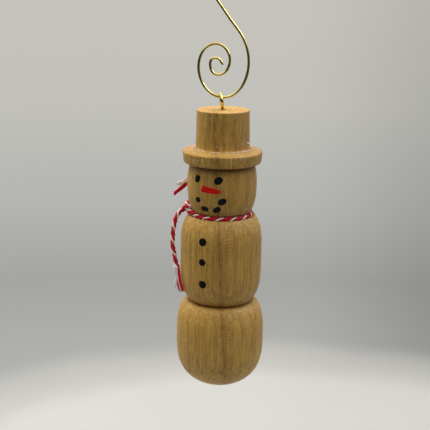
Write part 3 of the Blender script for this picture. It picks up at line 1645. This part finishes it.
    def make_fuzz(self, material: bpy.types.Material, line: np.ndarray) -> None:
        """Make the loose fibres that stand off the twine, each a thin bent spike.

        Args:
            material: The piece's finish.
            line: Centre line of the whole twine.
        """
        noise = np.random.default_rng(31)
        tangent = unit(np.gradient(line, axis=0))
        surface = Surface()
        share = np.linspace(0.0, 1.0, 5)[:, None]
        for station in noise.integers(70, len(line) - 60, self.fuzz_count):
            out = unit(np.cross(tangent[station], noise.normal(0.0, 1.0, 3)))
            root = line[station] + out * 0.74 * self.diameter / 2
            reach = noise.uniform(0.25, 0.75) * MM
            lean = tangent[station] * noise.choice([-1.0, 1.0]) * noise.uniform(0.4, 1.3)
            stray = noise.normal(0.0, 0.2, 3)
            fibre = root + reach * (out * share + lean * share**2 + stray * share**2)
            dye = float(noise.random() < 0.6)
            radius = 0.014 * MM * (1.0 - 0.6 * share[:, 0])
            grid = sweep(fibre, np.array([0.3, 0.5, 0.8]), radius, 3)
            surface.add_tube(grid, share[:, 0] * MM, {"dye": dye, "depth": 0.0})
        finish_piece(surface.make("twine_fuzz", material), Body.SCARF, Slot.TWINE)

    def make(self, material: bpy.types.Material) -> None:
        """Make the whole scarf; the cords come first.

        Args:
            material: The twine's finish.
        """
        line, cuts = self.whole_line()
        plies = self.ply_lines(line)
        self.make_long_tail(material, line, plies, cuts[0])
        self.make_short_tail(material, line, plies, cuts[3])
        self.make_loop_and_knot(material, plies, cuts)
        self.make_fuzz(material, line)


# ---------------------------------------------------------------- glitter


@dataclass
class Glitter:
    """Loose six-sided flakes stuck on the hat, most of them where the crown meets the brim."""

    turning: Turning
    thickness: float = 0.02 * MM

    def places(self, noise: np.random.Generator) -> tuple[np.ndarray, np.ndarray]:
        """Places and outward directions of the flakes, by zone of the hat.

        Args:
            noise: Source of random numbers.

        Returns:
            Points and normals, one row a flake.
        """
        foot, crown = self.turning.crown_foot, self.turning.crown_top
        edge, brim, top = self.turning.brim_reach, self.turning.brim_top, self.turning.height
        zones = (
            # flakes, radius from and to, height from and to, outwards share of the normal
            (330, foot + 0.1 * MM, foot + 1.5 * MM, brim, brim, 0.05),
            (150, foot + 1.2 * MM, edge - 0.7 * MM, brim - 0.3 * MM, brim - 0.3 * MM, 0.05),
            (52, edge, edge, brim - 4.4 * MM, brim - 1.4 * MM, 1.0),
            (64, foot - 0.05 * MM, foot - 0.05 * MM, brim, brim + 3.0 * MM, 1.0),
            (30, crown + 0.12 * MM, crown + 0.12 * MM, brim + 3.0 * MM, top - MM, 1.0),
            (24, 3.0 * MM, crown - MM, top, top, 0.0),
        )
        points, normals = [], []
        for count, near, far, low, high, outwards in zones:
            azimuth = noise.uniform(0.0, TURN, count)
            reach, height = noise.uniform(near, far, count), noise.uniform(low, high, count)
            points.append(polar(azimuth, reach, height))
            normals.append(polar(azimuth, outwards, 1.0 - outwards))
        return np.concatenate(points), unit(np.concatenate(normals))

    def make(self, material: bpy.types.Material) -> None:
        """Lay each flake as a thin plate, tipped a little off the surface.

        Args:
            material: The piece's finish.
        """
        noise = np.random.default_rng(7)
        points, normals = self.places(noise)
        surface = Surface()
        for point, normal in zip(points, normals):
            normal = unit(normal + noise.normal(0.0, 0.34, 3))
            side = unit(np.cross(normal, noise.normal(0.0, 1.0, 3)))
            line = point + np.array([[-0.3], [1.0]]) * normal * self.thickness * 1.5
            size = noise.uniform(0.09, 0.23) * MM
            grid = sweep(line, side, size, 6)
            surface.add_tube(grid, np.array([0.0, 1.0]), {"hue": noise.random()})
        piece = surface.make("hat_glitter", material)
        faces = piece.data.polygons
        faces.foreach_set("use_smooth", np.zeros(len(faces), dtype=bool))
        finish_piece(piece, Body.FIGURE, None)


# ---------------------------------------------------------------- studio


@dataclass(frozen=True)
class SoftLight:
    """One square soft light: where it hangs, what it looks at and what it lights."""

    name: str
    place: tuple[float, float, float]
    aim: tuple[float, float, float]
    size: float
    power: float
    tint: tuple[float, float, float]
    diffuse: bool = True
    glossy: bool = True

    def make(self) -> None:
        """Hang the light."""
        data = bpy.data.lights.new(self.name, "AREA")
        data.shape = "SQUARE"
        data.size = self.size
        data.energy = self.power
        data.color = self.tint
        light = bpy.data.objects.new(self.name, data)
        bpy.context.scene.collection.objects.link(light)
        light.location = self.place
        light.visible_diffuse = self.diffuse
        light.visible_glossy = self.glossy
        light.rotation_mode = "QUATERNION"
        way = Vector(self.aim) - Vector(self.place)
        light.rotation_quaternion = way.to_track_quat("-Z", "Y")


@dataclass
class Studio:
    """Camera, pale floor, soft lights and a plain grey surround."""

    distance: float = 352.5 * MM
    height: float = 158.8 * MM
    pitch: float = math.radians(14.37)
    yaw: float = math.radians(0.418)
    roll: float = math.radians(0.80)
    focal: float = 77.86
    sensor: float = 36.0
    floor_height: float = -90.0 * MM
    chest: tuple[float, float, float] = (0.0, 0.0, 0.06)
    lights: tuple[SoftLight, ...] = (
        SoftLight("overhead", (-0.10, 0.03, 0.80), chest, 0.55, 4.75, (1.0, 0.975, 0.93),
                  glossy=False),
        SoftLight("left", (-0.66, 0.24, 0.30), chest, 0.50, 2.2, (1.0, 0.99, 0.97),
                  glossy=False),
        SoftLight("fill", (-0.35, -0.75, 0.35), chest, 0.60, 0.10, (1.0, 0.98, 0.95),
                  glossy=False),
        SoftLight("gloss", (0.46, 0.215, 0.52), (0.0, 0.0, 0.12), 0.46, 3.2, (1.0, 0.98, 0.93),
                  diffuse=False),
    )
    wall_rise: float = 0.42
    wall_greys: tuple[tuple[float, float], ...] = (
        (0.0, 0.46), (1.0, 0.560), (0.10, 0.43), (0.26, 0.375), (0.43, 0.455), (0.69, 0.535),
    )
    wall_dim: float = 0.34
    wall_dim_fade: float = 0.16
    dome_base: float = 0.035
    dome_top: float = 1.30
    dome_beyond: float = 0.46

    def make_camera(self) -> None:
        """Place the camera front right of the figure, looking slightly down."""
        data = bpy.data.cameras.new("camera")
        data.lens = self.focal
        data.sensor_width = self.sensor
        data.clip_start = 0.01
        camera = bpy.data.objects.new("camera", data)
        bpy.context.scene.collection.objects.link(camera)
        camera.location = Vector(-BEYOND) * self.distance + Vector((0.0, 0.0, self.height))
        heading = CAMERA_AZIMUTH + self.yaw
        look = Vector((
            -math.sin(heading) * math.cos(self.pitch), math.cos(heading) * math.cos(self.pitch),
            -math.sin(self.pitch),
        ))
        roll = Quaternion((0.0, 0.0, 1.0), self.roll)
        camera.rotation_mode = "QUATERNION"
        camera.rotation_quaternion = look.to_track_quat("-Z", "Y") @ roll
        bpy.context.scene.camera = camera

    def make_floor(self) -> None:
        """Lay a thin round slab, a closed grid of rings."""
        reach = np.array([0.02, 0.6, 0.6, 0.02])
        height = self.floor_height - np.array([2.0, 2.0, 0.0, 0.0]) * MM
        azimuth = np.arange(64) * TURN / 64
        slab = Surface()
        grid = polar(azimuth[None, :], reach[:, None], height[:, None])
        slab.add_tube(grid, reach, {})
        slab.make("pale_floor", FloorFinish().material())

    def make_surround(self) -> None:
        """Make the world: a grey wall as the camera sees it, and a dome of light for the rest.

        The wall's grey is read from stops by the rise of the view, and falls off to the right.
        The dome is brighter above and beyond the figure than on the camera's side.
        """
        world = bpy.data.worlds.new("surround")
        bpy.context.scene.world = world
        world.use_nodes = True
        sketch = Sketch(world.node_tree)
        back = world.node_tree.nodes["Background"]
        way = sketch.add("TexCoord").outputs["Generated"]
        rise = sketch.dot(way, (0.0, 0.0, 1.0))
        aside, beyond = sketch.dot(way, RIGHT), sketch.dot(way, BEYOND)
        level = sketch.math("ADD", rise, self.wall_rise)
        level = sketch.math("DIVIDE", level, self.wall_rise, clamp=True)
        grey = sketch.ramp(level, self.wall_greys)
        dim = sketch.math("MULTIPLY", level, self.wall_dim_fade)
        dim = sketch.math("SUBTRACT", self.wall_dim, dim)
        dim = sketch.math("MULTIPLY", sketch.smooth(aside, 0.06, 0.27), dim)
        grey = sketch.blend(dim, grey, colour(0.0, 0.0, 0.0))
        warmth = sketch.smooth(level, 0.35, 1.0)
        tint = sketch.blend(warmth, colour(1.0, 1.0, 0.955), colour(1.01, 0.98, 0.90))
        seen = sketch.blend(1.0, grey, tint, "MULTIPLY")
        dome = sketch.math("MULTIPLY", sketch.smooth(rise, 0.25, 0.85), self.dome_top)
        dome = sketch.plus(dome, sketch.smooth(beyond, -0.3, 0.9), self.dome_beyond)
        dome = sketch.math("ADD", dome, self.dome_base)
        cast = sketch.blend(1.0, dome, colour(1.0, 0.985, 0.95), "MULTIPLY")
        ray = sketch.add("LightPath").outputs["Is Camera Ray"]
        sketch.put(back.inputs["Color"], sketch.blend(ray, cast, seen))

    def make(self) -> None:
        """Make the camera, the floor, the surround and the lights."""
        self.make_camera()
        self.make_floor()
        self.make_surround()
        for light in self.lights:
            light.make()
        bpy.context.scene.view_settings.view_transform = "Standard"


def main() -> None:
    """Build the studio, then each sub-assembly in turn."""
    logging.basicConfig(level=logging.INFO, format="%(name)s: %(message)s")
    Studio().make()
    shared = SharedGroups(make_streaks(), make_mottle())
    TwineScarf().make(TwineFinish(shared).material())
    turning = Turning()
    wood = turning.make(HardwoodFinish(shared).material())
    finish_piece(wood, Body.FIGURE, Slot.HARDWOOD, "turned_figure")
    marks = PaintedMarks(turning)
    marks.make_dabs(PaintFinish(
        shared, "black_craft_paint", colour(0.0028, 0.0032, 0.0060), colour(0.012, 0.012, 0.016),
        math.radians(15.0), 0.55, 0.7,
    ).material())
    marks.make_nose(PaintFinish(
        shared, "red_craft_paint", colour(0.84, 0.012, 0.010), colour(0.36, 0.005, 0.004),
        math.radians(105.0), 0.6, 0.75,
    ).material())
    brass = BrassFinish(shared).material()
    SwirlHook().make(brass)
    ScrewEye().make(brass)
    Glitter(turning).make(GlitterFinish().material())


if __name__ == "__main__":
    main()
